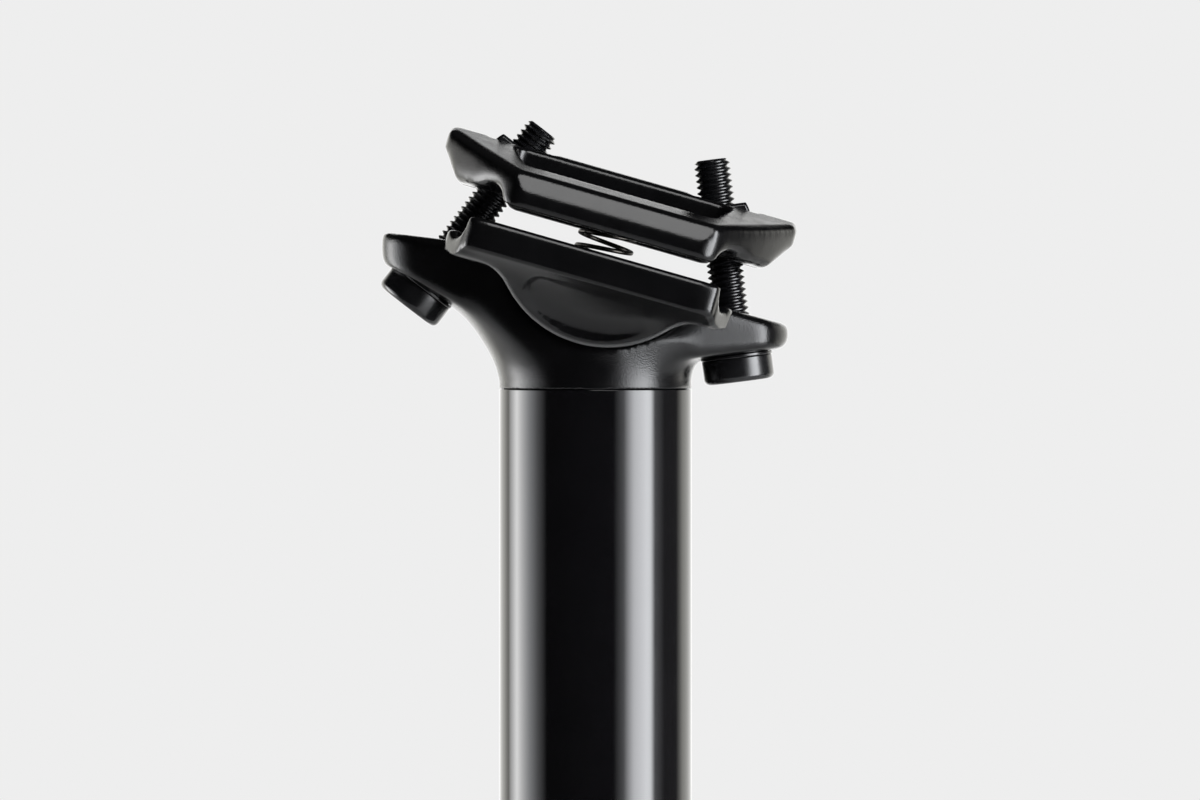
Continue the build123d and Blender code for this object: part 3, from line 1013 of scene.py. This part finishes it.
@dataclass
class ClampBolt:
    """A socket-head bolt with its domed washer.

    Lengths are in millimetres, angles in degrees. The thread's flank spans shares of half a turn.
    """

    axes: ClampAxes
    end: End
    offset: float
    lean: float
    seat_depth: float
    shank: float = 32.8
    diameter: float = 6.0
    pitch: float = 1.0
    thread_depth: float = 0.56
    thread_flank: Span = (0.14, 0.82)
    tip_chamfer: float = 0.6
    head_diameter: float = 11.6
    head_height: float = 4.0
    head_round: float = 1.02
    bearing_round: float = 0.25
    bearing_steps: int = 5
    hex_key: float = 5.0
    hex_depth: float = 2.4
    washer_diameter: float = 11.8
    washer_rim: float = 0.5
    washer_edge: float = 0.1
    washer_dome: float = 1.6
    washer_dome_diameter: float = 10.6
    washer_hole: float = 6.6
    crown_steps: int = 10
    around: int = 48
    rings: int = 14
    lead_turns: int = 2
    spare_turns: int = 3

    def place(self, above_seat: float) -> Matrix:
        """A place on the bolt, some way above its washer's seat."""
        return self.axes.bolt(self.end, self.offset, self.lean, above_seat - self.seat_depth)

    def side(self) -> str:
        """The word for the bolt's end in names."""
        return self.end.name.lower()

    def thread_radius(self, turn: float, height: float) -> tuple[float, float]:
        """Radius and height of the thread's surface.

        Args:
            turn: the number of turns along the profile.
            height: how far along the bolt the point would lie if the thread never ended.

        Returns:
            The point's radius, and its height on the real bolt.
        """
        tip = self.diameter / 2 - self.tip_chamfer
        if height > self.shank:
            return tip * max(0.0, 1 - (height - self.shank) / self.pitch), self.shank
        if height < 0:
            return tip * max(0.0, 1 + height / self.pitch), 0.0
        swing = abs(2 * (turn - floor(turn)) - 1)
        radius = self.diameter / 2 - self.thread_depth * (1 - portion(swing, *self.thread_flank))
        return min(radius, tip + self.shank - height), height

    def thread(self) -> Piece:
        """Wraps a grid round the bolt's axis into a threaded shank.

        Returns:
            The shank, standing on the head's bearing face.
        """
        turns = ceil(self.shank / self.pitch) + self.spare_turns
        Bench.clear()
        bpy.ops.mesh.primitive_grid_add(
            x_subdivisions=self.around, y_subdivisions=turns * self.rings, size=2
        )
        shank = bpy.context.object
        for vertex in shank.data.vertices:
            lap, turn = (vertex.co.x + 1) / 2, (vertex.co.y + 1) / 2 * turns
            turn = round(turn * self.rings) / self.rings
            radius, height = self.thread_radius(turn, (turn + lap - self.lead_turns) * self.pitch)
            vertex.co = Vector((radius * cos(tau * lap), radius * sin(tau * lap), height)) * MM
        Bench.weld(shank)
        shank.data.transform(self.place(-self.washer_rim))
        return shank

    def head(self) -> Piece:
        """Turns the bolt's head and sinks its hexagon socket.

        Returns:
            The head.
        """
        radius, low = self.head_diameter / 2, -self.head_height
        bearing_centre = (radius - self.bearing_round, -self.bearing_round)
        profile = [
            (0, low),
            *arc((radius - self.head_round, low + self.head_round), self.head_round, 270, 360),
            *arc(bearing_centre, self.bearing_round, 0, 90, self.bearing_steps),
            (0, 0),
        ]
        place = self.place(-self.washer_rim)
        head = Bench.lathe("head_turned", profile, place)
        Bench.clear()
        bpy.ops.mesh.primitive_cylinder_add(
            vertices=6, radius=self.hex_key / 2 / cos(pi / 6) * MM, depth=2 * self.hex_depth * MM
        )
        socket = bpy.context.object
        socket.matrix_world = place @ Matrix.Translation((0, 0, low * MM))
        Bench.cut(head, socket)
        return head

    def build_bolt(self) -> Piece:
        """Builds the bolt and joins its head to its shank.

        Returns:
            The bolt.
        """
        bolt, head = self.thread(), self.head()
        bolt.name = f"{self.side()}_clamp_bolt"
        Bench.pick(bolt)
        head.select_set(True)
        bpy.ops.object.join()
        Bench.smooth(bolt)
        return Bench.dress(bolt, OXIDE, Body.POST, f"{self.side()}_bolt")

    def build_washer(self) -> Piece:
        """Builds the domed washer.

        Returns:
            The washer.
        """
        hole, dome, rim = self.washer_hole / 2, self.washer_dome_diameter / 2, self.washer_diameter / 2
        sphere = (dome**2 + self.washer_dome**2) / (2 * self.washer_dome)
        steps = [dome + (hole - dome) * step / self.crown_steps for step in range(self.crown_steps + 1)]
        crown = [(x, (sphere**2 - x**2) ** 0.5 - sphere + self.washer_dome) for x in steps]
        profile = [
            (hole, -self.washer_rim),
            (rim - self.washer_edge, -self.washer_rim),
            (rim, self.washer_edge - self.washer_rim),
            (rim, -self.washer_edge),
            (rim - self.washer_edge, 0),
            *crown,
        ]
        washer = Bench.lathe(f"{self.side()}_dome_washer", profile, self.place(0))
        Bench.smooth(washer)
        return Bench.dress(washer, OXIDE, Body.POST, f"{self.side()}_washer")


@dataclass
class ClampSpring:
    """The coil spring under the upper clamp. Lengths are in millimetres, angles in degrees."""

    axes: ClampAxes
    diameter: float = 9.8
    wire: float = 0.75
    turns: float = 4.5
    foot: float = -8.525
    top: float = 1.725
    press: float = 2.5
    steps: int = 40
    sides: int = 16
    sharp_angle: float = 40

    def build(self) -> Piece:
        """Winds the wire and stands the spring under the clamp.

        Returns:
            The spring.
        """
        Bench.clear()
        bpy.ops.mesh.primitive_circle_add(vertices=self.sides, radius=self.wire / 2 * MM)
        spring = bpy.context.object
        spring.name = "coil_spring"
        radius = (self.diameter - self.wire) / 2
        quarter = Matrix.Rotation(pi / 2, 4, "X")
        spring.data.transform(Matrix.Translation((radius * MM, 0, 0)) @ quarter)
        Bench.modify(
            spring,
            Mod.SCREW,
            angle=tau * self.turns,
            screw_offset=(self.top - self.foot) * MM,
            steps=round(self.steps * self.turns),
            render_steps=round(self.steps * self.turns),
        )
        Bench.pick(spring)
        bpy.ops.object.mode_set(mode="EDIT")
        bpy.ops.mesh.select_all(action="SELECT")
        bpy.ops.mesh.fill_holes(sides=self.sides)
        bpy.ops.object.mode_set(mode="OBJECT")
        Bench.weld(spring)
        spring.data.transform(self.axes.upright(self.foot))
        Bench.smooth(spring, self.sharp_angle)
        Bench.dress(spring, WIRE, Body.CRADLE, "clamp_spring")
        anchor = self.axes.point(0, self.foot - self.wire / 2)
        self.axes.upward()
        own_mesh(spring)
        return spring


@dataclass
class LightWall:
    """A round wall of softboxes about the post, graded along its length. Lengths are in metres."""

    stops: tuple[Stop, ...]
    radius: float = 0.85
    low: float = -0.05
    high: float = 1.0
    low_fade: float = 0.12
    high_fade: float = 0.20
    sides: int = 128

    def build(self) -> Piece:
        """Stands the wall round the object, unseen by the camera.

        Returns:
            The wall.
        """
        Bench.clear()
        bpy.ops.mesh.primitive_cylinder_add(
            vertices=self.sides,
            radius=self.radius,
            depth=self.high - self.low,
            end_fill_type="NOTHING",
            location=(0, 0, (self.high + self.low) / 2),
        )
        bpy.ops.object.transform_apply(location=True)
        wall = bpy.context.object
        wall.name = "light_wall"
        wall.data.materials.append(self.glow())
        wall.visible_camera = False
        wall.visible_shadow = False
        return wall

    def peak(self) -> float:
        """The strongest light on the wall."""
        return max(stop.radiance for stop in self.stops)

    def glow(self) -> bpy.types.Material:
        """Makes the wall's glow: colours round the wall, whose alpha is the light's height.

        Returns:
            The emitting material.
        """
        material = bpy.data.materials.new("softbox_glow")
        material.use_nodes = True
        tree = material.node_tree
        tree.nodes.remove(tree.nodes["Principled BSDF"])
        place = tree.nodes.new("ShaderNodeTexCoord").outputs["Object"]
        colours = self.colours_round(tree, place)
        strength = self.strength_upward(tree, place, colours.outputs["Alpha"])
        inputs = {"Color": colours.outputs["Color"], "Strength": strength}
        glow = add_node(tree, "ShaderNodeEmission", inputs)
        tree.links.new(glow.outputs["Emission"], tree.nodes["Material Output"].inputs["Surface"])
        return material

    def colours_round(self, tree: Tree, place: Socket) -> bpy.types.Node:
        """Lays the stops round the wall.

        Args:
            tree: the material's nodes.
            place: the wall's own coordinates.

        Returns:
            The colour ramp, which starts and ends opposite the camera.
        """
        turned = add_node(tree, "ShaderNodeMapping", {"Vector": place, "Rotation": (0, 0, pi / 2)})
        sweep = add_node(tree, "ShaderNodeTexGradient", {"Vector": turned.outputs["Vector"]})
        sweep.gradient_type = "RADIAL"
        colours = add_node(tree, "ShaderNodeValToRGB", {"Fac": sweep.outputs["Fac"]})
        marks = colours.color_ramp.elements
        while len(marks) < len(self.stops):
            marks.new(0.5)
        for mark, stop in zip(marks, self.stops):
            mark.position = 0.5 + stop.azimuth / 360
            mark.color = (*(stop.radiance / self.peak() * part for part in stop.tint.value), stop.top)
        return colours

    def strength_upward(self, tree: Tree, place: Socket, top: Socket) -> Socket:
        """Fades the light in above the wall's foot and out below its top.

        Args:
            tree: the material's nodes.
            place: the wall's own coordinates.
            top: the light's height.

        Returns:
            The light's strength.
        """
        height = add_node(tree, "ShaderNodeSeparateXYZ", {"Vector": place}).outputs["Z"]
        inputs = {"Value": height, "From Min": self.low, "From Max": self.low + self.low_fade}
        rise = add_node(tree, "ShaderNodeMapRange", inputs)
        below_top = add_node(tree, "ShaderNodeMath", {0: top, 1: height})
        below_top.operation = "SUBTRACT"
        inputs = {"Value": below_top.outputs["Value"], "From Max": self.high_fade, "To Max": self.peak()}
        fall = add_node(tree, "ShaderNodeMapRange", inputs)
        inputs = {0: rise.outputs["Result"], 1: fall.outputs["Result"]}
        strength = add_node(tree, "ShaderNodeMath", inputs)
        strength.operation = "MULTIPLY"
        return strength.outputs["Value"]


@dataclass
class FrontLight:
    """A soft light above the camera, aimed at the clamp. Lengths are in metres."""

    location: tuple[float, float, float] = (0.14, -0.62, 0.85)
    aim: tuple[float, float, float] = (0.0, 0.0, 0.35)
    size: float = 0.42
    radiance: float = 5.4

    def build(self) -> Piece:
        """Hangs the light.

        Returns:
            The light.
        """
        data = bpy.data.lights.new("front_light", "AREA")
        data.size = self.size
        data.energy = self.radiance * pi * self.size**2
        light = bpy.data.objects.new("front_light", data)
        bpy.context.scene.collection.objects.link(light)
        light.location = self.location
        light.rotation_euler = (Vector(self.aim) - light.location).to_track_quat("-Z", "Y").to_euler()
        light.visible_camera = False
        return light


@dataclass
class Studio:
    """Camera, floor and light. Lengths are in metres, angles in degrees."""

    target: tuple[float, float, float] = (0.00074, 0.0, 0.32299)
    distance: float = 1.3
    elevation: float = 0.6
    width_in_view: float = 0.19737
    sensor: float = 36.0
    floor_size: float = 3.0
    floor_grey: float = 0.62
    floor_roughness: float = 0.8
    background: float = 0.855
    surround: float = 0.03

    def build(self) -> None:
        """Sets up the camera, the floor, the lights and the world."""
        bpy.context.scene.view_settings.view_transform = "Standard"
        self.camera()
        self.floor()
        LightWall(SOFTBOXES).build()
        FrontLight().build()
        self.world()

    def camera(self) -> None:
        """Stands the camera to match the photo's view."""
        scene = bpy.context.scene
        target, rise = Vector(self.target), radians(self.elevation)
        data = bpy.data.cameras.new("photo_camera")
        data.sensor_width = self.sensor
        data.lens = self.sensor * self.distance / self.width_in_view
        camera = bpy.data.objects.new("photo_camera", data)
        scene.collection.objects.link(camera)
        camera.location = target + Vector((0, -cos(rise), sin(rise))) * self.distance
        camera.rotation_euler = (pi / 2 - rise, 0, 0)
        scene.camera = camera

    def floor(self) -> None:
        """Lays a pale floor under the tube's lower end."""
        Bench.clear()
        bpy.ops.mesh.primitive_plane_add(size=self.floor_size)
        ground = bpy.context.object
        ground.name = "floor"
        paint = bpy.data.materials.new("pale_floor")
        paint.use_nodes = True
        shader = paint.node_tree.nodes["Principled BSDF"]
        shader.inputs["Base Color"].default_value = grey(self.floor_grey)
        shader.inputs["Roughness"].default_value = self.floor_roughness
        ground.data.materials.append(paint)

    def world(self) -> None:
        """Makes a pale background for the camera and a dim surround for all else."""
        world = bpy.data.worlds.new("studio")
        bpy.context.scene.world = world
        world.use_nodes = True
        tree = world.node_tree
        dim = tree.nodes["Background"]
        dim.inputs["Color"].default_value = grey(self.surround)
        pale = add_node(tree, "ShaderNodeBackground", {"Color": grey(self.background)})
        seen = tree.nodes.new("ShaderNodeLightPath").outputs["Is Camera Ray"]
        inputs = {"Fac": seen, 1: dim.outputs["Background"], 2: pale.outputs["Background"]}
        mix = add_node(tree, "ShaderNodeMixShader", inputs)
        tree.links.new(mix.outputs["Shader"], tree.nodes["World Output"].inputs["Surface"])


def main() -> None:
    """Builds the pieces in order, then the studio."""
    logging.basicConfig(level=logging.INFO, format="%(name)s %(message)s")
    axes = ClampAxes()
    PostTube().build()
    forgings = (
        HeadForging("head", "head_forging", Body.POST, BLASTED, grid=0.34, passes=10, axes=axes),
        CradleForging("lower_cradle", "cradle_forging", Body.CRADLE, SATIN_PAINTED_RIM, grid=0.30, passes=8, axes=axes),
        ClampForging("upper_clamp", "clamp_forging", Body.TOP_CLAMP, SATIN_PAINTED_RIM, grid=0.35, passes=9, axes=axes),
    )
    for forging in forgings:
        forging.build()
    front_bolt = ClampBolt(axes, End.FRONT, offset=16.9, lean=23.2, seat_depth=22.3)
    rear_bolt = ClampBolt(axes, End.REAR, offset=17.5, lean=21.8, seat_depth=25.4)
    for bolt in (front_bolt, rear_bolt):
        bolt.build_bolt()
        bolt.build_washer()
    Forging("front_nut", "front_barrel_nut", Body.FRONT_BARREL, OXIDE, grid=0.14, passes=3).build()
    Forging("rear_nut", "rear_barrel_nut", Body.REAR_BARREL, OXIDE, grid=0.14, passes=3).build()
    ClampSpring(axes).build()
    Studio().build()


if __name__ == "__main__":
    main()
